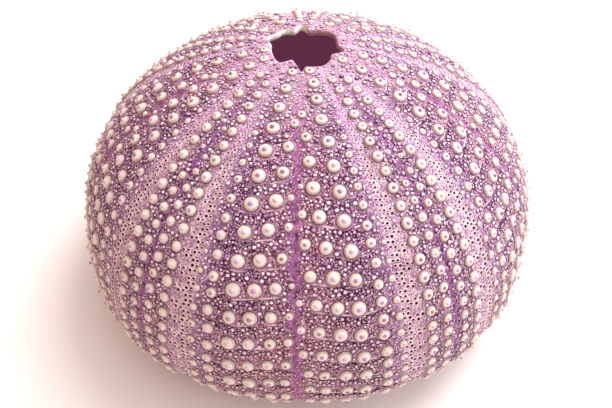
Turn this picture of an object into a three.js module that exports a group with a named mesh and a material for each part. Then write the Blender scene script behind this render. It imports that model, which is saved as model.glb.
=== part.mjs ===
// Sea urchin shell: the bare test of a regular sea urchin, grown as one piece, with its spines, jaws
// and soft parts gone. Millimetres, +Z up. The origin is the middle of the ring that it rests on.

import * as THREE from "three";
import { ParametricGeometry } from "three/addons/geometries/ParametricGeometry.js";

// Driving dimensions of the outside, which reaches the tips of the tubercles.
const ambitusRadius = 30; // the widest circle
const crownRise = 25.9; // from the widest circle up to where the crown would close
const baseDrop = 8.4; // from the widest circle down to the resting ring
const ringRadius = 15.6; // outer edge of the flat resting ring
const ringWidth = 1.4;
const lobeSwell = 0.2; // how far the five ambulacra stand out of round
const frontTurn = -3.2; // degrees from -Y to the middle of the front interambulacrum

// A superellipse has the powers 2 and 2 where it is an ellipse.
const crownPowers = { across: 1.9, up: 2.25 };
const basePowers = { across: 2, up: 1.7 };

// The wall, measured across the tubercles as well.
const crownWall = 1;
const sideWall = 2.5;
const floorWall = 2.5;

// The hole at the crown, where the apical plates have dropped out. Each bay cuts into its rim, or
// stands in from it where its depth is negative; places are degrees from the front interambulacrum.
const crownHoleRadius = 4;
const crownBays = [
  { at: 0, depth: 0.8, spread: 7 },
  { at: 30, depth: 0.3, spread: 22 },
  { at: 63, depth: -0.45, spread: 13 },
  { at: 84, depth: 0.6, spread: 14 },
  { at: 140, depth: 0.8, spread: 36 },
  { at: 185, depth: 1.5, spread: 13 },
  { at: 212, depth: 1, spread: 26 },
  { at: 238, depth: 1, spread: 19 },
  { at: 285, depth: -0.3, spread: 45 },
  { at: 339, depth: -1, spread: 18 },
];

// The mouth below, with a gill notch at each side of every interambulacrum.
const mouthRadius = 10.5;
const mouthRise = 2; // the rolled edge ends this far above the table
const mouthWall = 2;
const gillNotch = { fromMiddle: 21, depth: 1.2, spread: 4.5 };

// The girdle inside the mouth that carried the jaw muscles: a low ridge with two ears per ambulacrum.
const girdle = { radius: 13, spread: 2.6, ridge: 0.9, ear: 3.2, earFromMiddle: 27, earSpread: 8 };

const sectors = 5;
const columns = 120;
const rows = { crown: 13, base: 7, roll: 2, floor: 4, innerBase: 3, innerCrown: 10 };

const sectorAngle = 360 / sectors;
const quarter = Math.PI / 2;

// The shortest way round from one angle to another, in degrees.
function turnBetween(from, to) {
  return THREE.MathUtils.euclideanModulo(to - from + 180, 360) - 180;
}

// 1 at the middle of a bay or a hump, falling to 0 at its spread.
function fade(distance, spread) {
  const left = Math.max(0, 1 - Math.abs(distance) / spread);
  return left * left * (3 - 2 * left);
}

// How far an azimuth is from the middle of its interambulacrum, from 0 to half a sector.
function fromInterradius(azimuth) {
  return Math.abs(turnBetween(Math.round(azimuth / sectorAngle) * sectorAngle, azimuth));
}

function crownHoleAt(azimuth) {
  const bay = ({ at, depth, spread }) => depth * fade(turnBetween(at, azimuth), spread);
  return crownBays.reduce((radius, each) => radius + bay(each), crownHoleRadius);
}

function mouthAt(azimuth) {
  const away = fromInterradius(azimuth) - gillNotch.fromMiddle;
  return mouthRadius + gillNotch.depth * fade(away, gillNotch.spread);
}

function lobeAt(azimuth) {
  return -lobeSwell * Math.cos(THREE.MathUtils.degToRad(azimuth * sectors));
}

// Points of a quarter superellipse round the middle of the widest circle. It runs from the angle
// start to the angle end, where 0 is on the widest circle.
function arc(centreRadius, across, up, powers, start, end, count) {
  const point = (step) => {
    const angle = THREE.MathUtils.lerp(start, end, step / count);
    const out = Math.cos(angle) ** (2 / powers.across);
    const rise = Math.sin(angle) ** (2 / powers.up);
    return new THREE.Vector2(centreRadius + across * out, baseDrop + up * rise);
  };
  return Array.from({ length: count + 1 }, (_, step) => point(step));
}

// The angle at which the crown's arc comes to a radius.
function angleAt(radius, across) {
  return Math.acos((radius / across) ** (crownPowers.across / 2));
}

// The outside, from the rim of the crown's hole down to the edge of the mouth.
function outsideProfile(azimuth) {
  const radius = ambitusRadius + lobeAt(azimuth);
  const rim = angleAt(crownHoleAt(azimuth), radius);
  const crown = arc(0, radius, crownRise, crownPowers, rim, 0, rows.crown - 1);
  const base = arc(ringRadius, radius - ringRadius, -baseDrop, basePowers, 0, quarter, rows.base);
  const innerRing = ringRadius - ringWidth;
  const mouth = mouthAt(azimuth);
  const roll = [];
  for (let step = 0; step <= rows.roll; step++) {
    const angle = (quarter * step) / rows.roll;
    const inward = (innerRing - mouth) * Math.sin(angle);
    roll.push(new THREE.Vector2(innerRing - inward, mouthRise * (1 - Math.cos(angle))));
  }
  return [...crown, ...base.slice(1), ...roll];
}

// The girdle's height over the inner floor.
function girdleAt(radius, azimuth) {
  const away = fromInterradius(azimuth) - girdle.earFromMiddle;
  const height = girdle.ridge + girdle.ear * fade(away, girdle.earSpread);
  return height * fade(radius - girdle.radius, girdle.spread);
}

// The inside, from the edge of the mouth up to the rim of the crown's hole.
function insideProfile(azimuth) {
  const radius = ambitusRadius + lobeAt(azimuth) - sideWall;
  const mouth = mouthAt(azimuth);
  const edgeHeight = mouthRise + mouthWall;
  const floor = [];
  for (let step = 0; step < rows.floor; step++) {
    const reach = step / rows.floor;
    const at = THREE.MathUtils.lerp(mouth, ringRadius, reach);
    const height = THREE.MathUtils.lerp(edgeHeight, floorWall, THREE.MathUtils.smoothstep(reach, 0, 1));
    floor.push(new THREE.Vector2(at, height + girdleAt(at, azimuth)));
  }
  const drop = baseDrop - floorWall;
  const base = arc(ringRadius, radius - ringRadius, -drop, basePowers, quarter, 0, rows.innerBase);
  const rim = angleAt(crownHoleAt(azimuth), radius);
  const rise = crownRise - crownWall;
  const crown = arc(0, radius, rise, crownPowers, 0, rim, rows.innerCrown);
  return [...floor, ...base, ...crown.slice(1)];
}

// The whole section, closed on itself, swept round the axis with its shape changing as it goes.
function shellGeometry() {
  const sections = Array.from({ length: columns }, (_, column) => {
    const azimuth = (column * 360) / columns;
    return [...outsideProfile(azimuth), ...insideProfile(azimuth)];
  });
  const around = sections[0].length;
  const surface = (across, along, target) => {
    const column = (columns - Math.round(across * columns)) % columns; // backwards, to face out
    const point = sections[column][Math.round(along * around) % around];
    const azimuth = THREE.MathUtils.degToRad((column * 360) / columns + frontTurn);
    target.set(point.x * Math.sin(azimuth), -point.x * Math.cos(azimuth), point.y);
  };
  return new ParametricGeometry(surface, columns, around);
}

const shellMaterial = new THREE.MeshStandardMaterial({ color: 0xcfb0c6, roughness: 0.75, metalness: 0 });

const shell = new THREE.Mesh(shellGeometry(), shellMaterial);
shell.name = "shell";

const seaUrchinShell = new THREE.Group();
seaUrchinShell.add(shell);

export default seaUrchinShell;
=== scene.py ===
import itertools
import math

import bpy
import numpy as np
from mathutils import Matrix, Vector


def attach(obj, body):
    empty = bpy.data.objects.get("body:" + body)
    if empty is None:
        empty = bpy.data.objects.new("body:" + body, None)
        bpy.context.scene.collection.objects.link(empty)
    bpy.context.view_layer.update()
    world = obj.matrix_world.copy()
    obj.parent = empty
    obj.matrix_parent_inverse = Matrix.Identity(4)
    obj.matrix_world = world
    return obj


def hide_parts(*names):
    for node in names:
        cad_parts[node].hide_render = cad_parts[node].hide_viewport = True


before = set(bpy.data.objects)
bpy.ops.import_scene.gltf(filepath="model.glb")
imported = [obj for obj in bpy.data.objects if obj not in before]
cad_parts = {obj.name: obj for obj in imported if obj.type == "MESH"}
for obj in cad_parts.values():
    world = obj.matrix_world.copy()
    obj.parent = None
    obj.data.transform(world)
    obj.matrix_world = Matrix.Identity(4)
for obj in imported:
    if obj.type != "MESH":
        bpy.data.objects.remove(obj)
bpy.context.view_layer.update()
millimetre = 0.001
scene = bpy.context.scene
rng = np.random.default_rng(11)
sectors = 5
sector = 360.0 / sectors

# Everything below is in millimetres and degrees until a mesh is made. Azimuth starts at the front.
# The outside follows the solid: a superellipse crown over a superellipse base, with a flat resting ring.
shape = {
    "ambitus": 30.0,  # radius of the widest circle, over the tubercles
    "rise": 25.9,
    "drop": 8.4,
    "ring": 15.6,
    "ringWidth": 1.4,
    "crownPowers": (1.9, 2.25),
    "basePowers": (2.0, 1.7),
    "lobeSwell": 0.2,
    "mouth": 10.5,
    "mouthRise": 2.0,
    "sideWall": 2.5,
    "floorWall": 2.5,
    "crownWall": 1.0,
    "mouthWall": 2.0,
    "frontTurn": -3.2,  # degrees from -Y to the middle of the front interambulacrum
}

# Where the apical plates dropped out: degrees from the front interambulacrum, depth and spread of each bay.
crownHole = {
    "radius": 4.0,
    "bays": [
        (0, 0.8, 7), (30, 0.3, 22), (63, -0.45, 13), (84, 0.6, 14), (140, 0.8, 36),
        (185, 1.5, 13), (212, 1.0, 26), (238, 1.0, 19), (285, -0.3, 45), (339, -1.0, 18),
    ],
    "edge": 0.12,  # how far the rim is rounded
}
# The plates lie this far below the solid, against the distance down from the pole.
skin = {"down": (4.0, 12.0, 47.0, 54.0), "depth": (0.04, 0.40, 0.40, 0.55)}

gillNotch = {"fromMiddle": 21.0, "depth": 1.2, "spread": 4.5}
girdle = {
    "radius": 13.0,
    "spread": 2.6,
    "ridge": 0.9,
    "ear": 3.2,
    "earFromMiddle": 27.0,
    "earSpread": 8.0,
}


def turnBetween(start, end):
    return (end - start + 180.0) % 360.0 - 180.0


def fade(distance, spread):
    left = np.clip(1.0 - np.abs(distance) / spread, 0.0, 1.0)
    return left * left * (3.0 - 2.0 * left)


def ramp(value, low, high):
    t = np.clip((value - low) / (high - low), 0.0, 1.0)
    return t * t * (3.0 - 2.0 * t)


def fromInterradius(azimuth):
    return turnBetween(np.round(azimuth / sector) * sector, azimuth)


def crownHoleAt(azimuth):
    radius = np.full_like(azimuth, crownHole["radius"])
    for at, depth, spread in crownHole["bays"]:
        radius = radius + depth * fade(turnBetween(at, azimuth), spread)
    return radius


def mouthAt(azimuth):
    away = np.abs(fromInterradius(azimuth)) - gillNotch["fromMiddle"]
    return shape["mouth"] + gillNotch["depth"] * fade(away, gillNotch["spread"])


def lobeAt(azimuth):
    return -shape["lobeSwell"] * np.cos(np.radians(azimuth * sectors))


# One quarter of the outline, by its angle from the widest circle.
def quarter(centre, across, up, powers, angle):
    out = np.cos(angle).clip(0.0) ** (2.0 / powers[0])
    rise = np.sin(angle).clip(0.0) ** (2.0 / powers[1])
    return centre + across * out, shape["drop"] + up * rise


# Averages over the near neighbours, which softens the corners at the ring's edges.
def softened(values):
    reach = 20
    kernel = np.hanning(2 * reach + 1)
    return np.convolve(np.pad(values, reach, mode="edge"), kernel / kernel.sum(), "valid")


# The outline from the closed pole down to the mouth, as radius and height against the distance along it.
def makeOutline():
    angle = np.linspace(0.0, math.pi / 2, 1500)
    crown = quarter(0.0, shape["ambitus"], shape["rise"], shape["crownPowers"], angle[::-1])
    across = shape["ambitus"] - shape["ring"]
    base = quarter(shape["ring"], across, -shape["drop"], shape["basePowers"], angle)
    inner = shape["ring"] - shape["ringWidth"]
    rollAngle = angle[::15]
    rollR = inner - (inner - shape["mouth"]) * np.sin(rollAngle)
    rollZ = shape["mouthRise"] * (1 - np.cos(rollAngle))
    radius = np.concatenate([crown[0], base[0][1:], rollR])
    height = np.concatenate([crown[1], base[1][1:], rollZ])
    along = np.concatenate([[0.0], np.cumsum(np.hypot(np.diff(radius), np.diff(height)))])
    keep = np.concatenate([[True], np.diff(along) > 1e-6])
    radius, height, along = radius[keep], height[keep], along[keep]
    even = np.linspace(0.0, along[-1], 3000)
    radius, height = np.interp(even, along, radius), np.interp(even, along, height)
    slopeR, slopeZ = softened(np.gradient(radius, even)), softened(np.gradient(height, even))
    length = np.hypot(slopeR, slopeZ)
    outward = {"outR": -slopeZ / length, "outZ": slopeR / length}
    return {"along": even, "radius": radius, "height": height, **outward}


outline = makeOutline()
ambitusAlong = float(outline["along"][np.argmax(outline["radius"])])
wholeLength = float(outline["along"][-1])


def along(name, distance):
    return np.interp(distance, outline["along"], outline[name])


# The distance along the outline at which the crown comes to a radius.
def alongAtRadius(radius):
    upper = outline["along"] <= ambitusAlong
    return np.interp(radius, outline["radius"][upper], outline["along"][upper])


# How much of the lobes' swelling reaches a place.
def lobeReach(distance):
    radius = along("radius", distance)
    crown = radius / shape["ambitus"]
    base = (radius - shape["ring"]) / (shape["ambitus"] - shape["ring"])
    return np.where(distance < ambitusAlong, crown, np.clip(base, 0.0, 1.0))


# The plates. Rows are counted from the crown down, so a whole number is the seam above a plate.
growth = {
    "plate": (2.35, 3.03, 1.5),  # plate height near the crown, at its tallest and at the mouth
    "compound": (1.55, 1.97, 1.25),  # the same for the compound plates of the ambulacra
    "tallestAt": 28.0,
    "start": 3.75,
    "arch": ((0.0, 4.0, 8.0, 13.5, 19.0, 23.0), (1.1, 0.8, 0.5, 0.0, 0.25, 0.35)),  # degrees, mm up
    "seamHalf": 22.8,  # degrees from the interradius to the seam between the two kinds of plate
    "poreEnd": 28.6,
    "zigzag": 0.52,  # mm that the middle seams swing to each side
    "nominalPlate": 3.0,  # turns a share of a plate into mm, near enough for the width of a seam
}
perradiusAt = sector / 2


def makeRows(heights):
    nearCrown, tallest, nearMouth = heights
    distance = np.linspace(0.0, wholeLength, 2000)
    top = ramp(distance, 0.0, growth["tallestAt"])
    bottom = ramp(distance, growth["tallestAt"] + 3.0, wholeLength)
    height = nearCrown + (tallest - nearCrown) * top - (tallest - nearMouth) * bottom
    count = np.concatenate([[0.0], np.cumsum(np.diff(distance) / height[1:])])
    return distance, count - np.interp(growth["start"], distance, count)


plateRows = makeRows(growth["plate"])
compoundRows = makeRows(growth["compound"])


def rowAt(rows, distance):
    return np.interp(distance, *rows)


def distanceAt(rows, row):
    return np.interp(row, rows[1], rows[0])


# A plate's seams arch up towards the middle of its sector.
def archedRow(azimuth, distance):
    return rowAt(plateRows, distance + np.interp(np.abs(fromInterradius(azimuth)), *growth["arch"]))


def zigzagAt(row):
    return growth["zigzag"] * (1.0 - 4.0 * np.abs(row % 1.0 - 0.5))


def mmPerDegree(distance):
    return along("radius", distance) * math.pi / 180.0


# Low relief of the plates: shallow troughs, each given as (depth, half width).
relief = {
    "seam": (0.10, 0.6),
    "middleSeam": (0.16, 1.1),
    "perradius": (0.128, 0.9),
    "poreBand": 0.10,
    "seamEnds": 1.5,  # degrees over which the seams fade out beside the pore bands
    "startRadius": (4.0, 9.0),
}


def reliefAt(azimuth, distance):
    turn = fromInterradius(azimuth)
    perDegree = mmPerDegree(distance)
    row = archedRow(azimuth, distance)
    fromMiddle = turn * perDegree - zigzagAt(row)
    side = np.where(fromMiddle > 0.0, 0.5, 0.0)
    fromSeam = np.abs((row + side + 0.5) % 1.0 - 0.5) * growth["nominalPlate"]
    fromPerradius = (perradiusAt - np.abs(turn)) * perDegree
    bandMiddle = (growth["seamHalf"] + growth["poreEnd"]) / 2
    bandHalf = (growth["poreEnd"] - growth["seamHalf"]) / 2
    interior = ramp(growth["seamHalf"] - np.abs(turn), 0.0, relief["seamEnds"])
    troughs = [
        relief["seam"][0] * fade(fromSeam, relief["seam"][1]) * interior,
        relief["middleSeam"][0] * fade(fromMiddle, relief["middleSeam"][1]),
        relief["perradius"][0] * fade(fromPerradius, relief["perradius"][1]),
        relief["poreBand"] * fade(np.abs(turn) - bandMiddle, bandHalf * 1.6),
    ]
    return -np.maximum.reduce(troughs) * ramp(along("radius", distance), *relief["startRadius"])


# Points at azimuths round the axis, turned with the whole shell.
def onTurn(azimuth, radius, level):
    angle = np.radians(azimuth + shape["frontTurn"])
    return np.stack([radius * np.sin(angle), -radius * np.cos(angle), level], -1)


# A point on the shell's outside: azimuth from the front interradius, distance along, height over the plates.
def surfacePoint(azimuth, distance, height):
    radius = along("radius", distance) + lobeAt(azimuth) * lobeReach(distance)
    level = along("height", distance)
    outR, outZ = along("outR", distance), along("outZ", distance)
    lift = height - np.interp(distance, skin["down"], skin["depth"]) + reliefAt(azimuth, distance)
    return onTurn(azimuth, radius + outR * lift, level + outZ * lift)


# The shell's own directions at a place: round it, down it and out of it.
def surfaceAxes(azimuth, distance):
    angle = np.radians(azimuth + shape["frontTurn"])
    around = np.stack([np.cos(angle), np.sin(angle), np.zeros_like(angle)], -1)
    outward = onTurn(azimuth, along("outR", distance), along("outZ", distance))
    return around, np.cross(outward, around), outward


def addObject(name, data):
    made = bpy.data.objects.new(name, data)
    scene.collection.objects.link(made)
    return made


# A smooth piece from points in mm, a list of faces, and numbers for each point and each face corner.
def makeMesh(name, points, faces, attributes, cornerAttributes=None):
    mesh = bpy.data.meshes.new(name)
    mesh.from_pydata((points * millimetre).tolist(), [], faces)
    for key, values in attributes.items():
        mesh.attributes.new(key, "FLOAT", "POINT").data.foreach_set("value", values.astype(np.float32))
    for key, values in (cornerAttributes or {}).items():
        mesh.attributes.new(key, "FLOAT", "CORNER").data.foreach_set("value", values.astype(np.float32))
    mesh.polygons.foreach_set("use_smooth", np.ones(len(mesh.polygons), bool))
    mesh.update()
    return addObject(name, mesh)


# A value inside a node tree. Sums of such values are written like plain sums and make Math nodes.
class Value:
    def __init__(self, socket):
        self.socket, self.tree = socket, socket.id_data

    def __add__(self, other):
        return maths("ADD", self, other)

    def __sub__(self, other):
        return maths("SUBTRACT", self, other)

    def __rsub__(self, other):
        return maths("SUBTRACT", other, self)

    def __mul__(self, other):
        return maths("MULTIPLY", self, other)


def node(tree, kind, **settings):
    made = tree.nodes.new(kind)
    for key, value in settings.items():
        setattr(made, key, value)
    return made


# Sets a socket to a number or a colour, or links a value to it.
def connect(value, socket):
    if isinstance(value, Value):
        value.tree.links.new(value.socket, socket)
    elif isinstance(value, tuple) and socket.type == "RGBA":
        socket.default_value = (*value, 1.0)
    else:
        socket.default_value = value


def maths(operation, first, second=0.0):
    tree = first.tree if isinstance(first, Value) else second.tree
    made = node(tree, "ShaderNodeMath", operation=operation)
    connect(first, made.inputs[0])
    connect(second, made.inputs[1])
    return Value(made.outputs[0])


# Maps low..high onto toLow..toHigh and stops at both ends. Low may be above high.
def mapped(value, low, high, toLow=0.0, toHigh=1.0, smooth=True):
    made = node(value.tree, "ShaderNodeMapRange", interpolation_type="SMOOTHSTEP" if smooth else "LINEAR")
    for socket, item in zip(made.inputs, (value, low, high, toLow, toHigh)):
        connect(item, socket)
    return Value(made.outputs["Result"])


def mixed(amount, first, second):
    made = node(amount.tree, "ShaderNodeMix", data_type="RGBA", blend_type="MIX")
    for index, item in ((0, amount), (6, first), (7, second)):
        connect(item, made.inputs[index])
    return Value(made.outputs[2])


def dotProduct(vector, direction):
    made = node(vector.tree, "ShaderNodeVectorMath", operation="DOT_PRODUCT")
    connect(vector, made.inputs[0])
    connect(direction, made.inputs[1])
    return Value(made.outputs["Value"])


def attribute(tree, name):
    return Value(node(tree, "ShaderNodeAttribute", attribute_name=name).outputs["Fac"])


def place(tree):
    return Value(node(tree, "ShaderNodeTexCoord").outputs["Object"])


# A texture over the shell, by the kind of node and the names of its sockets.
def texture(tree, kind, output, **values):
    made = node(tree, kind)
    connect(place(tree), made.inputs["Vector"])
    for key, value in values.items():
        connect(value, made.inputs[key])
    return Value(made.outputs[output])


def noise(tree, scale, detail=2.0, roughness=0.6):
    return texture(tree, "ShaderNodeTexNoise", "Fac", Scale=scale, Detail=detail, Roughness=roughness)


# The distance to the middle of the nearest cobble.
def cobbleDistance(tree, scale):
    return texture(tree, "ShaderNodeTexVoronoi", "Distance", Scale=scale)


def makeGroup(name, inputs, output, kind):
    group = bpy.data.node_groups.new(name, "ShaderNodeTree")
    for label, socketKind in inputs.items():
        group.interface.new_socket(name=label, in_out="INPUT", socket_type=socketKind)
    group.interface.new_socket(name=output, in_out="OUTPUT", socket_type=kind)
    given = {socket.name: Value(socket) for socket in node(group, "NodeGroupInput").outputs}
    return group, given, node(group, "NodeGroupOutput").inputs[output]


def useGroup(tree, group, output, **values):
    made = node(tree, "ShaderNodeGroup", node_tree=group)
    for key, value in values.items():
        connect(value, made.inputs[key])
    return Value(made.outputs[output])


# Camera, floor and light.
studio = {
    "distance": 90.0,  # from the middle of the widest circle
    "elevation": 44.56,
    "roll": -1.3,
    "lens": 37.28,
    "sensor": 36.0,
    "shift": (-0.0016, 0.0056),
    "floor": (0.95, 0.915, 0.90),
    "floorRoughness": 0.9,
    "floorHalf": 1500.0,
    "backdrop": (0.96, 0.94, 0.94),
    "brightSky": (1.32, 1.295, 1.31),  # over the right
    "dimSky": (0.51, 0.225, 0.10),  # over the left and the front
    "brightFrom": (0.86, 0.02, 0.51),
    "skyBlend": (-0.35, 0.70),
    "keyPlace": (118.0, 80.0, 236.0),
    "keyTarget": (0.0, 0.0, 12.0),
    "keySize": 200.0,
    "keyPower": 0.75,
    "keyColour": (1.0, 0.98, 0.96),
}


def makeCamera():
    data = bpy.data.cameras.new("camera")
    data.lens = studio["lens"]
    data.sensor_width = studio["sensor"]
    data.shift_x, data.shift_y = studio["shift"]
    data.clip_start = 5.0 * millimetre
    data.dof.use_dof = False
    camera = addObject("camera", data)
    elevation = math.radians(studio["elevation"])
    middle = np.array([0.0, 0.0, shape["drop"]])
    away = np.array([0.0, -math.cos(elevation), math.sin(elevation)])
    camera.location = (middle + away * studio["distance"]) * millimetre
    camera.rotation_mode = "XYZ"
    camera.rotation_euler = (math.pi / 2 - elevation, 0.0, 0.0)
    camera.rotation_euler.rotate_axis("Z", math.radians(studio["roll"]))
    scene.camera = camera


def makeKeyLight():
    data = bpy.data.lights.new("keyLight", "AREA")
    data.shape = "DISK"
    data.size = studio["keySize"] * millimetre
    data.energy = studio["keyPower"]
    data.color = studio["keyColour"]
    lamp = addObject("keyLight", data)
    lamp.location = Vector(studio["keyPlace"]) * millimetre
    towards = Vector(studio["keyTarget"]) - Vector(studio["keyPlace"])
    lamp.rotation_mode = "QUATERNION"
    lamp.rotation_quaternion = towards.to_track_quat("-Z", "Y")


# A white tent, brighter on one side, with a plain backdrop where the camera sees past the floor.
def makeSky():
    world = bpy.data.worlds.new("whiteTent")
    world.use_nodes = True
    tree = world.node_tree
    direction = Value(node(tree, "ShaderNodeTexCoord").outputs["Generated"])
    share = mapped(dotProduct(direction, studio["brightFrom"]), *studio["skyBlend"], smooth=False)
    tent = mixed(share, studio["dimSky"], studio["brightSky"])
    seenDirectly = Value(node(tree, "ShaderNodeLightPath").outputs["Is Camera Ray"])
    connect(mixed(seenDirectly, tent, studio["backdrop"]), tree.nodes["Background"].inputs["Color"])
    scene.world = world


def makeFloor():
    half = studio["floorHalf"] * millimetre
    corners = [(-half, -half, 0), (half, -half, 0), (half, half, 0), (-half, half, 0)]
    mesh = bpy.data.meshes.new("floor")
    mesh.from_pydata(corners, [], [(0, 1, 2, 3)])
    material = bpy.data.materials.new("floorPaper")
    material.use_nodes = True
    shader = material.node_tree.nodes["Principled BSDF"]
    connect(studio["floor"], shader.inputs["Base Color"])
    connect(studio["floorRoughness"], shader.inputs["Roughness"])
    mesh.materials.append(material)
    addObject("floor", mesh)


makeCamera()
makeFloor()
makeSky()
makeKeyLight()
scene.view_settings.view_transform = "Standard"
print("studio: camera, floor, sky and one soft light")


# Colours are linear. The calcite runs from deep violet through mauve to pale lilac.
pigment = {
    "deep": (0.055, 0.010, 0.036),
    "violet": (0.29, 0.083, 0.31),
    "mauve": (0.49, 0.165, 0.26),
    "lilac": (0.61, 0.33, 0.52),
    "pale": (0.86, 0.62, 0.71),
    "ivory": (0.84, 0.80, 0.735),
    "cream": (0.57, 0.37, 0.31),
    "plum": (0.18, 0.052, 0.10),
}


# Cloudy pigment: blotches of a darker and a lighter tone, used on every part of the shell.
def makePigmentGroup():
    colours = dict.fromkeys(("Color", "Dark", "Light"), "NodeSocketColor")
    inputs = {**colours, "Amount": "NodeSocketFloat"}
    group, given, result = makeGroup("cloudyPigment", inputs, "Color", "NodeSocketColor")
    darker = mapped(noise(group, 420.0, 3.0), 0.5, 0.34) * given["Amount"]
    lighter = mapped(noise(group, 2300.0), 0.52, 0.70) * given["Amount"]
    shaded = mixed(darker * 0.7, given["Color"], given["Dark"])
    connect(mixed(lighter * 0.6, shaded, given["Light"]), result)
    return group


# Chalky grain of the calcite, as a height for a Bump node.
def makeGrainGroup():
    inputs = {"Scale": "NodeSocketFloat"}
    group, given, result = makeGroup("calciteGrain", inputs, "Height", "NodeSocketFloat")
    connect(noise(group, given["Scale"], 3.0, 0.5), result)
    return group


pigmentGroup = makePigmentGroup()
grainGroup = makeGrainGroup()


def makeMaterial(name, finish):
    material = bpy.data.materials.new(name)
    material.use_nodes = True
    tree = material.node_tree
    shader = tree.nodes["Principled BSDF"]
    shader.inputs["Roughness"].default_value = finish["roughness"]
    shader.inputs["Specular IOR Level"].default_value = finish["specular"]
    return material, tree, shader


def cloudy(tree, colour, dark, light, amount):
    return useGroup(tree, pigmentGroup, "Color", Color=colour, Dark=dark, Light=light, Amount=amount)


def addBump(tree, shader, height, depth):
    bump = node(tree, "ShaderNodeBump")
    bump.inputs["Distance"].default_value = depth * millimetre
    connect(height, bump.inputs["Height"])
    tree.links.new(bump.outputs["Normal"], shader.inputs["Normal"])


# The wall: outside, rims, inside and the girdle, in one closed mesh.
wall = {
    "columnsPerSector": 64,
    "outsideRows": 124,
    "rimRows": 4,
    "insideRows": 30,
    "thinning": 0.08,  # how much thinner the wall is at the crown's rim
    "mouthRimRound": 0.35,
    "crownRimRound": 0.18,
    "mouthEdge": 0.3,  # how far the outside stops short of the mouth
    "notchCut": 1.2,  # how much more of it a gill notch takes, against the notch's depth
    "floorShare": 0.14,  # share of the inside's rows that cross the floor
    "baseShare": 0.32,  # share that has been used when they reach the widest circle
}


# The inside at a share of the way from the mouth's edge, 0, to the crown's rim, 1.
def insideProfile(azimuth, share):
    radius = shape["ambitus"] + lobeAt(azimuth) - shape["sideWall"]
    mouth = mouthAt(azimuth)
    floorShare, baseShare = wall["floorShare"], wall["baseShare"]
    onFloor = np.clip(share / floorShare, 0.0, 1.0)
    onBase = np.clip((share - floorShare) / (baseShare - floorShare), 0.0, 1.0)
    onCrown = np.clip((share - baseShare) / (1 - baseShare), 0.0, 1.0)

    floorR = mouth + (shape["ring"] - mouth) * onFloor
    edge = shape["mouthRise"] + shape["mouthWall"]
    floorZ = edge + (shape["floorWall"] - edge) * ramp(onFloor, 0.0, 1.0)
    ears = fade(np.abs(fromInterradius(azimuth)) - girdle["earFromMiddle"], girdle["earSpread"])
    girdleHeight = girdle["ridge"] + girdle["ear"] * ears
    floorZ = floorZ + girdleHeight * fade(floorR - girdle["radius"], girdle["spread"])

    drop = shape["drop"] - shape["floorWall"]
    baseAngle = (1 - onBase) * math.pi / 2
    baseR, baseZ = quarter(shape["ring"], radius - shape["ring"], -drop, shape["basePowers"], baseAngle)

    rise = shape["rise"] - shape["crownWall"]
    rimAngle = np.arccos((crownHoleAt(azimuth) / radius) ** (shape["crownPowers"][0] / 2))
    crownR, crownZ = quarter(0.0, radius, rise, shape["crownPowers"], onCrown * rimAngle)
    crownZ = crownZ + wall["thinning"] * ramp(onCrown, 0.93, 1.0)
    below = [share < floorShare, share < baseShare]
    return np.select(below, [floorR, baseR], crownR), np.select(below, [floorZ, baseZ], crownZ)


# Rings of points that turn round from one edge of the wall to the other.
def rimRings(start, end, towardsAxis):
    made = []
    for step in range(1, wall["rimRows"] + 1):
        t = step / (wall["rimRows"] + 1)
        middle = start * (1 - t) + end * t
        flat = middle * (1.0, 1.0, 0.0)
        inward = flat / np.linalg.norm(flat, axis=1, keepdims=True)
        made.append(middle - inward * math.sin(math.pi * t) * towardsAxis)
    return made


def makeWall():
    columns = wall["columnsPerSector"] * sectors
    azimuth = np.arange(columns) * 360.0 / columns
    top = alongAtRadius(crownHoleAt(azimuth)) + crownHole["edge"]
    notch = (mouthAt(azimuth) - shape["mouth"]) * wall["notchCut"]
    bottom = wholeLength - notch - wall["mouthEdge"]
    rows = [top + (bottom - top) * step for step in np.linspace(0.0, 1.0, wall["outsideRows"])]
    outer = [surfacePoint(azimuth, distance, 0.0) for distance in rows]
    shares = np.linspace(0.0, 1.0, wall["insideRows"])
    inner = [onTurn(azimuth, *insideProfile(azimuth, np.full(columns, share))) for share in shares]
    mouthRim = rimRings(outer[-1], inner[0], wall["mouthRimRound"])
    crownRim = rimRings(inner[-1], outer[0], wall["crownRimRound"])
    rings = outer + mouthRim + inner + crownRim

    # how much each ring takes the outside's colour, and how far down the outline it counts as
    rimRows = wall["rimRows"]
    mouthShares = [1.0 - step / (rimRows + 1) for step in range(1, rimRows + 1)]
    crownShares = [0.55] + [0.7] * (rimRows - 1)
    outside = [1.0] * len(outer) + mouthShares + [0.0] * len(inner) + crownShares
    mouthRows = [np.full(columns, wholeLength)] * len(inner)
    distance = np.concatenate(rows + [rows[-1]] * rimRows + mouthRows + [top] * rimRows)

    count = len(rings)
    ring, column = np.meshgrid(np.arange(count), np.arange(columns), indexing="ij")
    nextRing, nextColumn = (ring + 1) % count, (column + 1) % columns
    corners = [(ring, column), (nextRing, column), (nextRing, nextColumn), (ring, nextColumn)]
    faces = np.stack([r * columns + c for r, c in corners], -1).reshape(-1, 4)
    # the angle jumps between sectors, so it is kept for each corner of each face
    turnHere = fromInterradius((column + 0.5) * 360.0 / columns).reshape(-1, 1)
    half = 180.0 / columns
    turn = (turnHere + np.array([-half, -half, half, half])).reshape(-1)
    attributes = {
        "plateRow": archedRow(np.tile(azimuth, count), distance),
        "compoundRow": rowAt(compoundRows, distance),
        "around": mmPerDegree(distance),
        "outside": np.repeat(outside, columns),
        "down": distance / wholeLength,
    }
    return makeMesh("shellWall", np.concatenate(rings), faces.tolist(), attributes, {"turn": turn})


wallPiece = makeWall()
print("shell: wall has %d faces" % len(wallPiece.data.polygons))


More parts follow.
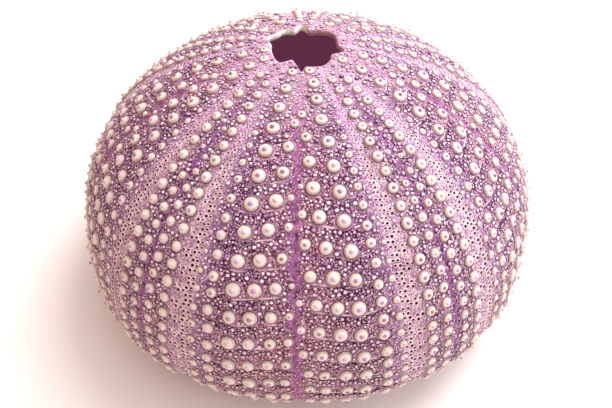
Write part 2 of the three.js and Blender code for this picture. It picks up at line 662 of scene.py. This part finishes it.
# Tubercles: a low boss with a groove on top and a round knob in it, standing in a shallow collar.
# Each ring of a form is (distance from the middle, height, band), in shares of the boss's radius.
primaryForm = [
    (1.32, -0.06, 1.32), (1.12, 0.01, 1.14), (1.02, 0.04, 1.03), (0.98, 0.20, 0.96), (0.87, 0.40, 0.84),
    (0.68, 0.54, 0.67), (0.46, 0.61, 0.47), (0.34, 0.60, 0.36), (0.295, 0.72, 0.30), (0.235, 0.83, 0.22),
    (0.12, 0.92, 0.11),
]
smallForm = [
    (1.32, -0.06, 1.32), (1.04, 0.03, 1.04), (0.98, 0.22, 0.96), (0.82, 0.46, 0.80), (0.52, 0.60, 0.53),
    (0.34, 0.59, 0.36), (0.28, 0.76, 0.28), (0.15, 0.90, 0.14),
]


# Many copies of one turned form, each set on the surface at its own place and size.
def scatterForm(name, form, tipHeight, places, segments, extra):
    azimuth, distance, radius = places[:, 0], places[:, 1], places[:, 2]
    around, down, outward = surfaceAxes(azimuth, distance)
    centre = surfacePoint(azimuth, distance, 0.0)
    angle = np.arange(segments) * 2 * math.pi / segments
    tall = extra.get("tall", np.ones(len(places)))
    wide = extra["stretch"] * radius
    rings, band = [], []
    for out, height, mark in form:
        ox = out * np.cos(angle)[None, :, None] * wide[:, None, None]
        oy = out * np.sin(angle)[None, :, None] * radius[:, None, None]
        lift = (height * radius * tall)[:, None, None]
        rings.append(centre[:, None] + around[:, None] * ox + down[:, None] * oy + outward[:, None] * lift)
        band.append(np.full((len(places), segments), mark))
    tip = centre + outward * (tipHeight * radius * tall)[:, None]
    band.append(np.zeros((len(places), 1)))
    points = np.concatenate(rings + [tip[:, None]], 1).reshape(-1, 3)

    ring, side = np.meshgrid(np.arange(len(form) - 1), np.arange(segments), indexing="ij")
    lower, upper, after = ring * segments, (ring + 1) * segments, (side + 1) % segments
    quads = np.stack([lower + side, lower + after, upper + after, upper + side], -1).reshape(-1, 4)
    side = np.arange(segments)
    last, tipIndex = (len(form) - 1) * segments, len(form) * segments
    cap = np.stack([last + side, last + (side + 1) % segments, np.full(segments, tipIndex)], -1)
    # around x down points inwards, so the order of every face is turned
    first = (np.arange(len(places)) * (tipIndex + 1))[:, None, None]
    quads = (quads[None, :, ::-1] + first).reshape(-1, 4)
    cap = (cap[None, :, ::-1] + first).reshape(-1, 3)
    attributes = {"band": np.concatenate(band, 1).reshape(-1)}
    for key, values in extra.items():
        if key not in ("tall", "stretch"):
            attributes[key] = np.repeat(values, tipIndex + 1)
    return makeMesh(name, points, quads.tolist() + cap.tolist(), attributes)


# Columns of tubercles. Each has where it starts, in mm down from the pole, how many stand on a plate, and
# its angle from the interradius and its diameter against the distance down.
interColumns = {
    "primary": {
        "kind": "primaryTubercles", "start": 4.2, "perPlate": 1,
        "turn": ([5, 10, 15, 22, 30, 66], [11.0, 11.8, 12.7, 13.1, 13.9, 14.0]),
        "size": ([4.6, 7, 13, 45, 66], [1.05, 1.3, 1.46, 1.5, 1.1]),
    },
    "innerOne": {
        "kind": "innerTubercles", "start": 10.4, "perPlate": 1,
        "turn": ([10, 12, 15, 18, 22, 25, 28, 31, 38, 66],
                 [0.6, 2.3, 3.8, 5.0, 6.3, 7.6, 8.6, 9.2, 9.9, 9.6]),
        "size": ([10, 12, 16, 22, 45, 66], [0.85, 1.08, 1.3, 1.48, 1.42, 0.95]),
    },
    "innerTwo": {
        "kind": "innerTubercles", "start": 19.0, "perPlate": 1,
        "turn": ([19, 23.5, 26.5, 29.5, 33, 38, 66], [1.4, 2.0, 3.1, 4.2, 4.9, 5.5, 5.2]),
        "size": ([19, 23, 26, 30, 45, 66], [0.62, 0.95, 1.2, 1.3, 1.28, 0.85]),
    },
    "innerThree": {
        "kind": "innerTubercles", "start": 28.0, "perPlate": 1,
        "turn": ([28, 31, 36, 40, 66], [0.5, 1.0, 1.4, 2.2, 2.0]),
        "size": ([28, 31, 36, 40, 50, 66], [0.5, 0.75, 1.0, 1.15, 1.0, 0.6]),
    },
    "outerOne": {
        "kind": "outerTubercles", "start": 10.8, "perPlate": 1.5,
        "turn": ([10, 15, 21, 27, 35, 66], [20.4, 19.9, 19.2, 19.0, 18.7, 18.7]),
        "size": ([10, 14, 18, 22, 27, 33, 45, 66], [0.45, 0.68, 0.85, 1.02, 1.12, 1.22, 1.2, 0.75]),
    },
    "outerTwo": {
        "kind": "outerTubercles", "start": 23.5, "perPlate": 1.5,
        "turn": ([23, 30, 66], [22.0, 22.3, 22.3]),
        "size": ([23, 27, 30, 33, 45, 66], [0.4, 0.55, 0.75, 0.9, 0.9, 0.6]),
    },
}
ambColumns = {
    "marginal": {
        "start": 6.2,
        "turn": ([6, 10, 20, 66], [30.4, 30.0, 29.6, 29.8]),
        "size": ([6, 10, 20, 30, 45, 66], [0.85, 1.08, 1.2, 1.28, 1.2, 0.8]),
    },
    "middle": {
        "start": 10.5,
        "turn": ([10, 20, 30, 40, 66], [34.6, 34.3, 33.9, 33.6, 33.8]),
        "size": ([10, 17, 20, 24, 30, 45, 66], [0.45, 0.6, 0.78, 1.05, 1.15, 1.08, 0.7]),
    },
}
tubercle = {
    "tip": 0.95,
    "tall": (0.86, 1.0),
    "round": (0.98, 1.08),
    "rimClearance": 0.08,
    "interEnd": 1.6,  # how far above the mouth's edge the columns stop
    "ambEnd": 1.3,
    "interRow": 0.66,  # where a tubercle stands on its plate, as a share of the plate
    "ambRow": 0.4,
    "skipAbove": 19.0,  # above this, only every other compound plate has a middle tubercle
    "mostRows": 90,  # more than fit between the crown and the mouth
    "room": ((5.0, 10.0, 50.0, 55.0), (0.33, 0.8, 0.8, 0.52)),  # greatest height, against the distance down
    "darkKnobs": ((16.0, 36.0), (1.0, 0.3)),  # how dark the primaries' knobs are, against the same
}
# The two sides of a sector grew unevenly: mm down, with the distances at which each shift fades.
uneven = {
    "right": 0.2,
    "rightTop": 0.85,
    "rightTopAt": (3.5, 8.5),
    "leftBase": 0.4,
    "leftBaseAt": (30.0, 42.0),
    "lastSector": 4,
    "lastTop": 0.6,
    "lastTopAt": (6.0, 12.0),
    "lowerTurn": 0.9,  # degrees that the right side stands further out below
    "lowerTurnAt": (33.0, 44.0),
}
tubercleKinds = {
    "primaryTubercles": (primaryForm, 14),
    "innerTubercles": (smallForm, 12),
    "outerTubercles": (smallForm, 10),
    "ambulacralTubercles": (smallForm, 10),
}
kindNumber = {name: number for number, name in enumerate(tubercleKinds)}


# Every row on both sides of a sector, counted in plates. The sides are staggered by half a plate.
def sideRows(perPlate=1):
    for side in (-1, 1):
        stagger = 0.5 if side > 0 else 0.0
        for number in range(tubercle["mostRows"]):
            yield side, number, number / perPlate - stagger


# Turns a wander in mm at a place into degrees.
def wander(distance, reach):
    return rng.uniform(-1, 1) * reach / max(mmPerDegree(distance), 0.05)


# How many mm the tubercles of one side stand lower than the rule of growth says.
def unevenness(sectorIndex, side, distance):
    if side > 0:
        return uneven["right"] + uneven["rightTop"] * (1.0 - float(ramp(distance, *uneven["rightTopAt"])))
    shift = uneven["leftBase"] * float(ramp(distance, *uneven["leftBaseAt"]))
    if sectorIndex == uneven["lastSector"]:
        shift -= uneven["lastTop"] * (1.0 - float(ramp(distance + shift, *uneven["lastTopAt"])))
    return shift


def onInterambulacrum(sectorIndex):
    found = []
    for column in interColumns.values():
        for side, number, row in sideRows(column["perPlate"]):
            row += tubercle["interRow"]
            if column["perPlate"] != 1:
                row += rng.uniform(-0.06, 0.06)
            distance = float(distanceAt(plateRows, row))
            distance += unevenness(sectorIndex, side, distance)
            distance -= np.interp(np.interp(distance, *column["turn"]), *growth["arch"])
            if distance < column["start"] or distance > wholeLength - tubercle["interEnd"]:
                continue
            size = np.interp(distance, *column["size"]) * rng.uniform(0.93, 1.05)
            turn = np.interp(distance, *column["turn"]) * side
            turn += uneven["lowerTurn"] * float(ramp(distance, *uneven["lowerTurnAt"])) * (side > 0)
            turn += wander(distance, 0.09) + sectorIndex * sector
            distance += rng.uniform(-0.07, 0.07)
            found.append((turn, distance, size / 2, kindNumber[column["kind"]]))
    return found


def onAmbulacrum(sectorIndex):
    found = []
    for name, column in ambColumns.items():
        for side, number, row in sideRows():
            distance = float(distanceAt(compoundRows, row + tubercle["ambRow"]))
            if distance < column["start"] or distance > wholeLength - tubercle["ambEnd"]:
                continue
            if name == "middle" and distance < tubercle["skipAbove"] and number % 2 == 1:
                continue
            size = np.interp(distance, *column["size"]) * rng.uniform(0.92, 1.06)
            turn = np.interp(distance, *column["turn"]) * side
            turn += wander(distance, 0.07) + sectorIndex * sector
            distance += rng.uniform(-0.06, 0.06)
            found.append((turn, distance, size / 2, kindNumber["ambulacralTubercles"]))
    return found


def placeTubercles():
    inter, amb = [], []
    for sectorIndex in range(sectors):
        inter += onInterambulacrum(sectorIndex)
        amb += onAmbulacrum(sectorIndex)
    everything = np.array(inter + amb)
    # nothing may hang over the crown's hole
    rimAt = alongAtRadius(crownHoleAt(everything[:, 0]))
    return everything[everything[:, 1] > rimAt + everything[:, 2] + tubercle["rimClearance"]]


def tubercleExtra(places):
    count, distance = len(places), places[:, 1]
    isPrimary = places[:, 3] == kindNumber["primaryTubercles"]
    darkest = np.where(isPrimary, np.interp(distance, *tubercle["darkKnobs"]), 0.0)
    # the ones by the crown's hole and on the resting ring stay low
    room = np.interp(distance, *tubercle["room"]) / (places[:, 2] * tubercle["tip"])
    return {
        "tone": rng.random(count),
        "tipTone": np.maximum(rng.random(count), darkest * rng.uniform(0.6, 1.0, count)),
        "tall": np.minimum(rng.uniform(*tubercle["tall"], count), room),
        "stretch": rng.uniform(*tubercle["round"], count),
    }


allTubercles = placeTubercles()
tuberclePieces = []
for name, (form, segments) in tubercleKinds.items():
    places = allTubercles[allTubercles[:, 3] == kindNumber[name]]
    extra = tubercleExtra(places)
    tuberclePieces.append(scatterForm(name, form, tubercle["tip"], places, segments, extra))
print("shell: %d tubercles" % len(allTubercles))


# Pores: an arc of five pairs on each compound plate.
# Each pair is (degrees in from the seam, share of the plate).
pores = {
    "pairs": [(1.25, 0.0), (1.1, 0.28), (1.4, 0.57), (4.4, 0.64), (3.3, 0.87)],
    "row": -0.25,
    "start": 9.5,
    "end": 1.2,  # how far above the mouth's edge they stop
    "spread": 0.6,  # degrees from a pair's middle to each pore
    "slant": 0.06,  # mm that the outer pore of a pair is lower
    "size": 0.178,
    "sizeAt": ((9, 16, 25), (0.5, 0.7, 1.0)),  # shrinks towards the crown, against the radius
    "inner": (0.76, 1.5),  # the inner and outer pore's size and width, as shares
    "outer": (1.05, 1.1),
    "segments": 6,
    "form": [(1.55, -0.10, 1.5), (0.96, 0.34, 0.97)],  # a rim round a small pit
    "tip": 0.10,
}


# The two pores of a pair that starts at a seam on one side of a sector.
def porePair(inward, distance, side, sectorIndex):
    radius = float(along("radius", distance))
    spread = pores["spread"] / min(1.0, radius / 22.0) ** 0.25
    pair = []
    for which, (share, width) in ((-1, pores["inner"]), (1, pores["outer"])):
        turn = growth["seamHalf"] + inward + which * spread
        drop = pores["slant"] * which + rng.uniform(-0.03, 0.03)
        size = pores["size"] * share * rng.uniform(0.85, 1.1) * np.interp(radius, *pores["sizeAt"])
        pair.append((side * turn + sectorIndex * sector, distance + drop, size, width))
    return pair


def makePores():
    found = []
    for sectorIndex in range(sectors):
        for side, number, row in sideRows():
            for inward, share in pores["pairs"]:
                distance = float(distanceAt(compoundRows, row + share + pores["row"]))
                if pores["start"] <= distance <= wholeLength - pores["end"]:
                    found += porePair(inward, distance, side, sectorIndex)
    found = np.array(found)
    extra = {"tone": rng.random(len(found)), "stretch": found[:, 3]}
    return scatterForm("porePairs", pores["form"], pores["tip"], found, pores["segments"], extra), found


porePiece, allPores = makePores()
print("shell: %d pores" % len(allPores))


# Granules fill the plates between the tubercles, never touching them or each other.
# Each ring of a form is (distance from the middle, height, band), as for the tubercles.
granules = {
    "coarse": {
        "tries": 120000, "size": (0.34, 0.52), "gap": 0.015, "most": 4600, "segments": 7, "tip": 0.92,
        "form": [(1.10, -0.10, 1.05), (0.93, 0.36, 0.75), (0.50, 0.78, 0.35)],
    },
    "medium": {
        "tries": 140000, "size": (0.25, 0.34), "gap": 0.01, "most": 8600, "segments": 6, "tip": 0.85,
        "form": [(1.05, -0.10, 1.0), (0.78, 0.50, 0.55)],
    },
    "fine": {
        "tries": 420000, "size": (0.14, 0.25), "gap": 0.01, "most": 27000, "segments": 5, "tip": 0.95,
        "form": [(1.10, -0.10, 1.0)],
    },
}
clearance = {
    "tubercle": 1.10,  # the room that each takes, as a share of its radius
    "pore": 1.3,
    "rim": 0.35,  # mm kept free by the crown's hole
    "seam": 0.09,
    "smallCell": 0.55,  # mm, wide enough for two granules side by side
    "largeCell": 1.6,
    "smallRadius": 0.27,
}


# Finds whether a round thing has room, with small cells for the granules and wide ones for the rest.
class Neighbours:
    def __init__(self):
        self.cells = {clearance["smallCell"]: {}, clearance["largeCell"]: {}}

    def keys(self, point, cell):
        return tuple(int(math.floor(value / cell)) for value in point)

    def add(self, point, radius):
        cell = clearance["smallCell" if radius < clearance["smallRadius"] else "largeCell"]
        self.cells[cell].setdefault(self.keys(point, cell), []).append((point, radius))

    def free(self, point, radius, gap):
        for cell, bins in self.cells.items():
            x, y, z = self.keys(point, cell)
            around = itertools.product((x - 1, x, x + 1), (y - 1, y, y + 1), (z - 1, z, z + 1))
            for key in around:
                for other, size in bins.get(key, ()):
                    if math.dist(point, other) < size + radius + gap:
                        return False
        return True


# Places spread evenly over the shell: fewer where the outline is narrow.
def randomPlaces(count):
    distance = rng.uniform(3.2, wholeLength - 0.9, count * 2)
    keep = rng.uniform(0.0, shape["ambitus"], count * 2) < along("radius", distance)
    distance = distance[keep][:count]
    return rng.uniform(0.0, 360.0, len(distance)), distance


# How far down its own plate a place is, from 0 at the seam above it to 1 at the seam below.
def belowSeam(azimuth, distance):
    row = archedRow(azimuth, distance)
    across = fromInterradius(azimuth) * mmPerDegree(distance)
    return (row + np.where(across > zigzagAt(row), 0.5, 0.0)) % 1.0


# How thickly coarse granules stand at a place: along the seams of the plates and round the primaries.
def coarseShare(azimuth, distance):
    turn = fromInterradius(azimuth)
    size = np.abs(turn)
    below = belowSeam(azimuth, distance)
    nearSeam = np.maximum(fade(below - 0.17, 0.28), fade(below - 0.92, 0.12))
    fromMiddle = ramp(size * along("radius", distance), 25.0, 60.0)
    inter = np.maximum(nearSeam, 0.08) * fromMiddle * (size < 22.0)
    compound = (rowAt(compoundRows, distance) + np.where(turn > 0, 0.5, 0.0)) % 1.0
    amb = np.maximum(fade(compound - 0.9, 0.3), fade(compound + 0.1, 0.3))
    return np.maximum(inter, amb * 0.8 * (size > growth["poreEnd"]) * (size < 35.3))


# The chance that a granule of a kind grows at a place.
def granuleChance(kind, azimuth, distance, inBand):
    turn = np.abs(fromInterradius(azimuth))
    fromMiddle = turn * mmPerDegree(distance)
    if kind == "coarse":
        return np.where(inBand, 0.0, coarseShare(azimuth, distance)) * (fromMiddle > 0.55)
    if kind == "medium":
        chance = np.where(inBand, 0.9, 0.12 + coarseShare(azimuth, distance)) * (fromMiddle > 0.45)
        return np.maximum(chance, 0.5 - 0.5 * ramp(distance, 7.0, 13.0))
    fromPerradius = (perradiusAt - turn) * mmPerDegree(distance)
    chance = np.where(inBand, 0.9, 1.0) * ramp(fromMiddle, 0.15, 0.5) * ramp(fromPerradius, 0.05, 0.4)
    return chance * np.interp(distance, (6.0, 13.0), (0.25, 1.0))


def placeGranules(kind, near):
    settings = granules[kind]
    azimuth, distance = randomPlaces(settings["tries"])
    turn = np.abs(fromInterradius(azimuth))
    inBand = (turn > growth["seamHalf"] - 0.3) & (turn < growth["poreEnd"])
    chance = granuleChance(kind, azimuth, distance, inBand)
    size = rng.uniform(*settings["size"], len(azimuth)) / 2 * np.where(inBand, 0.8, 1.0)
    below = belowSeam(azimuth, distance)
    fromSeam = np.minimum(below, 1.0 - below) * growth["nominalPlate"]
    clear = distance > alongAtRadius(crownHoleAt(azimuth)) + clearance["rim"]
    clear &= (fromSeam > size + clearance["seam"]) | (turn > 19.0) | (turn < 3.0)
    take = (rng.random(len(azimuth)) < chance) & clear
    points = surfacePoint(azimuth, distance, 0.0).tolist()
    chosen = []
    for index in np.nonzero(take)[0]:
        if near.free(points[index], size[index], settings["gap"]):
            near.add(points[index], size[index])
            chosen.append((azimuth[index], distance[index], size[index]))
        if len(chosen) == settings["most"]:
            break
    return np.array(chosen)


def makeGranules():
    near = Neighbours()
    for taken, room in ((allTubercles, clearance["tubercle"]), (allPores, clearance["pore"])):
        centres = surfacePoint(taken[:, 0], taken[:, 1], 0.0)
        for centre, radius in zip(centres.tolist(), taken[:, 2].tolist()):
            near.add(centre, radius * room)
    return {kind: placeGranules(kind, near) for kind in granules}


def granuleExtra(places):
    count = len(places)
    return {
        "tone": rng.random(count),
        "tall": rng.uniform(0.8, 1.1, count),
        "stretch": rng.uniform(0.9, 1.25, count),
        "down": places[:, 1] / wholeLength,
    }


granulePieces = []
for kind, places in makeGranules().items():
    settings, extra = granules[kind], granuleExtra(places)
    form, tip, segments = settings["form"], settings["tip"], settings["segments"]
    piece = scatterForm(kind + "Granules", form, tip, places, segments, extra)
    granulePieces.append(piece)
    print("shell: %d %s granules" % (len(places), kind))


# The wall's finish: each tone with the degrees from the interradius, or the mm from a seam, between which it
# takes over.
calcite = {
    "roughness": 0.62,
    "specular": 0.15,
    "violetPlate": ((0.34, 0.085, 0.31), (8.0, 15.0)),
    "warmPlate": ((0.54, 0.21, 0.20), (23.0, 14.0)),
    "strip": ((0.56, 0.29, 0.59), (17.5, 20.5)),
    "ambulacrum": ((0.68, 0.37, 0.51), (28.0, 29.6)),
    "perradius": ((0.42, 0.15, 0.38), (31.5, 34.5)),
    "middleBand": (pigment["violet"], (0.72, 0.28)),
    "perradiusBand": ((0.26, 0.076, 0.29), (0.80, 0.3)),
    "seamLine": ((0.90, 0.72, 0.84), (0.13, 0.05)),
    "thread": (pigment["lilac"], (0.09, 0.02)),
    "poreBand": ((0.51, 0.26, 0.43), (0.92, 0.67, 0.77)),  # the two tones of its mottle
    "dusky": (0.12, 0.03, 0.11),
    # the gap tones are painted shade between the cobbles, on warm and on dark ground
    "gap": ((0.088, 0.018, 0.056), (0.040, 0.007, 0.028)),  # between cobbles, on warm and on dark ground
    # painted highlight on the tops of the cobbles
    "cobbleHighlight": (0.98, 0.73, 0.86),
    "cobbles": (3000.0, 5600.0),
    "rim": ((0.46, 0.24, 0.29), (0.93, 0.86, 0.80)),
    "rimLightTowards": (-0.9, 0.45, 0.0),
    "glow": (0.115, 0.030, 0.062),
    "glowStrength": 0.8,
    "bump": 0.06,
}
# Where things begin and end: in degrees from the interradius, or a share where it says so.
limits = {
    "poreBand": (22.0, 23.4),
    "duskyFrom": (5.5, 11.0),
    "duskyTo": (21.5, 18.5),
    "seamFrom": (2.0, 4.5),
    "seamTo": (19.5, 17.0),
    "duskyOnPlate": (0.52, 0.20),  # share of a plate, from its upper seam
    "warmBelow": (0.38, 0.58),  # these three are shares of the way down the outline
    "poreBandBelow": (0.15, 0.28),
    "crown": (0.22, 0.07),
    "rimLight": (0.0008, 0.0020),  # metres from the axis
}


def zone(value, name):
    return mapped(value, *limits[name])


# Lays a tone of the wall over a colour, between its limits and under more masks.
def laid(colour, name, value, *masks):
    tone, between = calcite[name]
    amount = mapped(value, *between)
    for mask in masks:
        amount = amount * mask
    return mixed(amount, colour, tone)


def rowShare(row, offset=0.0):
    return maths("FRACT", row + (99.0 + offset))  # rows may be below nought


def zigzagNode(row):
    return (1.0 - maths("ABSOLUTE", rowShare(row) - 0.5) * 4.0) * growth["zigzag"]


# Where a point of the wall lies: among the sectors, between the seams and down the outline.
def wallPlaces(tree):
    turn, row, around = attribute(tree, "turn"), attribute(tree, "plateRow"), attribute(tree, "around")
    down = attribute(tree, "down")
    size = maths("ABSOLUTE", turn)
    fromZigzag = turn * around - zigzagNode(row)
    sideRow = row + maths("GREATER_THAN", fromZigzag, 0.0) * 0.5
    swing = zigzagNode(attribute(tree, "compoundRow")) * maths("SIGN", turn) * 0.6
    return {
        "size": size,  # degrees from the interradius
        "middle": maths("ABSOLUTE", fromZigzag),  # mm from the middle seam
        "perradius": maths("ABSOLUTE", (perradiusAt - size) * around + swing),
        "seam": maths("ABSOLUTE", rowShare(sideRow, 0.5) - 0.5) * growth["nominalPlate"],
        "onPlate": zone(size, "seamTo") * zone(size, "seamFrom"),
        "dusky": zone(rowShare(sideRow), "duskyOnPlate") * zone(size, "duskyFrom") * zone(size, "duskyTo"),
        "broken": mapped(noise(tree, 700.0), 0.40, 0.58, 0.0, 0.9),
        "down": down,
        "nearCrown": zone(down, "crown"),
    }


# The ground tone of each zone, from the interradius out to the perradius.
def plateColour(tree, at):
    size, down = at["size"], at["down"]
    patchy = mapped(noise(tree, 160.0, 2.0, 0.5), 0.35, 0.55, 0.5, 0.95)
    mottle = mixed(mapped(noise(tree, 1500.0), 0.38, 0.62), *calcite["poreBand"])
    colour = laid(pigment["mauve"], "violetPlate", size)
    colour = laid(colour, "warmPlate", size, zone(down, "warmBelow"), patchy)
    colour = laid(colour, "strip", size)
    colour = mixed(zone(size, "poreBand") * zone(down, "poreBandBelow"), colour, mottle)
    colour = laid(laid(colour, "ambulacrum", size), "perradius", size)
    # a darker band of pigment below each seam, on the outer part of the plates
    return mixed(at["dusky"] * 0.75, colour, calcite["dusky"])


# Violet bands along the two middle seams, a fine thread in one of them, and pale lines between plates.
def seamColour(tree, at, colour):
    streak = noise(tree, 900.0)
    colour = laid(colour, "middleBand", at["middle"], mapped(streak, 0.25, 0.6, 0.5, 1.0))
    colour = laid(colour, "perradiusBand", at["perradius"], mapped(streak, 0.25, 0.6, 0.45, 0.95))
    colour = laid(colour, "seamLine", at["seam"], at["onPlate"], at["broken"])
    return laid(colour, "thread", at["middle"], mapped(streak, 0.35, 0.65, 0.1, 0.6))


# Cobbles too small to stand as granules, in two sizes, with painted shade in the gaps between them and a
# painted highlight on their tops. Also gives the gaps, for the bump.
def cobbleColour(tree, at, colour):
    size = at["size"]
    pebbles, specks = [cobbleDistance(tree, scale) for scale in calcite["cobbles"]]
    besideSeam = mapped(at["seam"], 0.20, 0.10) * at["onPlate"] * at["broken"]
    quiet = mapped(at["middle"], 0.1, 0.6) * mapped(at["perradius"], 0.05, 0.4) * (1.0 - besideSeam)
    inBand = mapped(size, 21.0, 23.0) * mapped(size, 29.5, 28.0)
    # painted shade: the gaps between cobbles are darkened towards the gap tones
    gap = maths("MAXIMUM", mapped(pebbles, 0.38, 0.68), mapped(specks, 0.46, 0.80))
    gap = gap * quiet * (1.0 - inBand * 0.5)
    depth = mapped(size, 18.0, 21.0, 0.92, 0.68) + at["dusky"] * 0.2 + mapped(size, 28.5, 30.5, 0.0, 0.26)
    depth = depth * (1.0 - at["nearCrown"] * 0.5)
    darkest = maths("MAXIMUM", at["dusky"], mapped(size, 20.0, 30.0))
    colour = mixed(gap * depth, colour, mixed(darkest, *calcite["gap"]))
    # painted highlight: the middle of each cobble is lightened towards the highlight tone
    top = maths("MAXIMUM", mapped(pebbles, 0.38, 0.16), mapped(specks, 0.36, 0.16))
    patchy = mapped(noise(tree, 1100.0), 0.34, 0.60, 0.45, 1.0)
    return mixed(top * quiet * patchy, colour, calcite["cobbleHighlight"]), gap


def wallMaterial():
    material, tree, shader = makeMaterial("lilacCalcite", calcite)
    at = wallPlaces(tree)
    colour, gap = cobbleColour(tree, at, seamColour(tree, at, plateColour(tree, at)))
    outer = cloudy(tree, colour, pigment["deep"], pigment["lilac"], 0.6)
    outer = mixed(at["nearCrown"] * 0.35, outer, pigment["pale"])

    # the broken edge of the crown's hole is bare calcite, paler towards the left and the back
    towards = dotProduct(place(tree), calcite["rimLightTowards"])
    rimTone = mixed(zone(towards, "rimLight"), *calcite["rim"])
    outside = attribute(tree, "outside")
    outer = mixed(mapped(outside, 1.0, 0.75), outer, rimTone)
    within = cloudy(tree, pigment["plum"], pigment["deep"], pigment["violet"], 0.5)
    connect(mixed(mapped(outside, 0.35, 0.1), outer, within), shader.inputs["Base Color"])

    # light that comes through the thin calcite, seen only on the inside
    glow = mixed(mapped(outside, 0.2, 0.0), (0.0, 0.0, 0.0), calcite["glow"])
    connect(glow, shader.inputs["Emission Color"])
    shader.inputs["Emission Strength"].default_value = calcite["glowStrength"]

    grain = useGroup(tree, grainGroup, "Height", Scale=9000.0)
    addBump(tree, shader, grain * 0.3 - gap, calcite["bump"])
    return material


# The tubercles' finish. Bands are shares of the radius, and a knob takes its tone from its own number.
ivoryBoss = {
    "roughness": 0.45,
    "specular": 0.35,
    "warmIvory": (0.80, 0.75, 0.67),
    # painted shade on the outer slopes of each boss
    "flankShade": (0.42, 0.26, 0.25),
    "flankShadeFrom": (0.62, 0.98),
    "speckle": (0.64, 0.51, 0.44),
    "palestKnob": (0.76, 0.56, 0.48),
    "knobs": [  # each tone takes over between these numbers
        ((0.20, 0.35), (0.66, 0.42, 0.60)),
        ((0.60, 0.75), (0.42, 0.16, 0.46)),
        ((0.80, 0.90), (0.25, 0.070, 0.12)),
    ],
    "knobFrom": (0.42, 0.30),
    # painted shade in the crease round the foot of each boss
    "footShadeFrom": (0.98, 1.04),
    "collar": (0.50, 0.22, 0.38),
    "collarFrom": (1.08, 1.22),
    "bump": 0.05,
}


def tubercleMaterial():
    material, tree, shader = makeMaterial("ivoryBoss", ivoryBoss)
    band, tone, tipTone = attribute(tree, "band"), attribute(tree, "tone"), attribute(tree, "tipTone")
    roughBand = band + (noise(tree, 6500.0) - 0.5) * 0.30
    boss = mixed(mapped(tone, 0.3, 1.0), pigment["ivory"], ivoryBoss["warmIvory"])
    # painted shade: the boss darkens towards brown down its outer slopes
    boss = mixed(mapped(roughBand, *ivoryBoss["flankShadeFrom"]) * 0.85, boss, ivoryBoss["flankShade"])
    boss = mixed(mapped(noise(tree, 9000.0), 0.42, 0.62) * 0.45, boss, ivoryBoss["speckle"])
    knob = ivoryBoss["palestKnob"]
    for limits, colour in ivoryBoss["knobs"]:
        knob = mixed(mapped(tipTone, *limits), knob, colour)
    boss = mixed(mapped(roughBand, *ivoryBoss["knobFrom"]) * 0.85, boss, knob)
    # painted shade: a thin dark ring in the crease round the foot of the boss
    boss = mixed(mapped(roughBand, *ivoryBoss["footShadeFrom"]), boss, pigment["deep"])
    boss = mixed(mapped(band, *ivoryBoss["collarFrom"]), boss, ivoryBoss["collar"])
    connect(cloudy(tree, boss, pigment["cream"], pigment["ivory"], 0.3), shader.inputs["Base Color"])
    addBump(tree, shader, useGroup(tree, grainGroup, "Height", Scale=6000.0), ivoryBoss["bump"])
    return material


pearlGranule = {
    "roughness": 0.18,
    "specular": 0.5,
    "tops": [(0.48, 0.20, 0.46), (0.94, 0.68, 0.83), (0.98, 0.89, 0.90)],  # violet, pink and white beads
    "topsFrom": [(0.10, 0.55), (0.62, 0.92)],
    "warmTop": (0.84, 0.60, 0.56),
    "warmBelow": (0.38, 0.62),
    # the skirts are painted shade over the lower sides and base of each granule
    "shadedSkirts": [(0.035, 0.006, 0.024), (0.18, 0.040, 0.15)],
    "shadedSkirtFrom": (0.34, 0.82),
}


def granuleMaterial():
    material, tree, shader = makeMaterial("pearlGranule", pearlGranule)
    tone = attribute(tree, "tone")
    top = pearlGranule["tops"][0]
    for limits, colour in zip(pearlGranule["topsFrom"], pearlGranule["tops"][1:]):
        top = mixed(mapped(tone, *limits), top, colour)
    warm = mapped(attribute(tree, "down"), *pearlGranule["warmBelow"], 0.0, 0.6)
    top = mixed(warm, top, pearlGranule["warmTop"])
    # painted shade: each granule darkens from its top down to its base
    skirt = mixed(mapped(tone, 0.0, 1.0), *pearlGranule["shadedSkirts"])
    colour = mixed(mapped(attribute(tree, "band"), *pearlGranule["shadedSkirtFrom"]), top, skirt)
    connect(cloudy(tree, colour, pigment["violet"], pigment["pale"], 0.3), shader.inputs["Base Color"])
    return material


poreRim = {
    "roughness": 0.9,
    "specular": 0.1,
    "creamRim": (0.88, 0.76, 0.76),
    # the pit tone is painted shade for the hole in each pore, and also darkens random blotches on the rims
    "pit": (0.040, 0.005, 0.010),
    "pitShadeFrom": (1.04, 0.92),
}


def poreMaterial():
    material, tree, shader = makeMaterial("poreRim", poreRim)
    rim = mixed(attribute(tree, "tone"), pigment["pale"], poreRim["creamRim"])
    # painted shade: the pit in the middle of each pore goes nearly black
    colour = mixed(mapped(attribute(tree, "band"), *poreRim["pitShadeFrom"]), rim, poreRim["pit"])
    connect(cloudy(tree, colour, poreRim["pit"], colour, 0.2), shader.inputs["Base Color"])
    return material


ivory, pearl = tubercleMaterial(), granuleMaterial()
finishes = [(wallPiece, wallMaterial()), (porePiece, poreMaterial())]
finishes += [(piece, pearl) for piece in granulePieces] + [(piece, ivory) for piece in tuberclePieces]
for piece, finish in finishes:
    piece.data.materials.append(finish)
    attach(piece, "root")
    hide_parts("shell")
    triangles = sum(len(face.vertices) - 2 for face in piece.data.polygons)
    print("%s: %d triangles" % (piece.name, triangles))
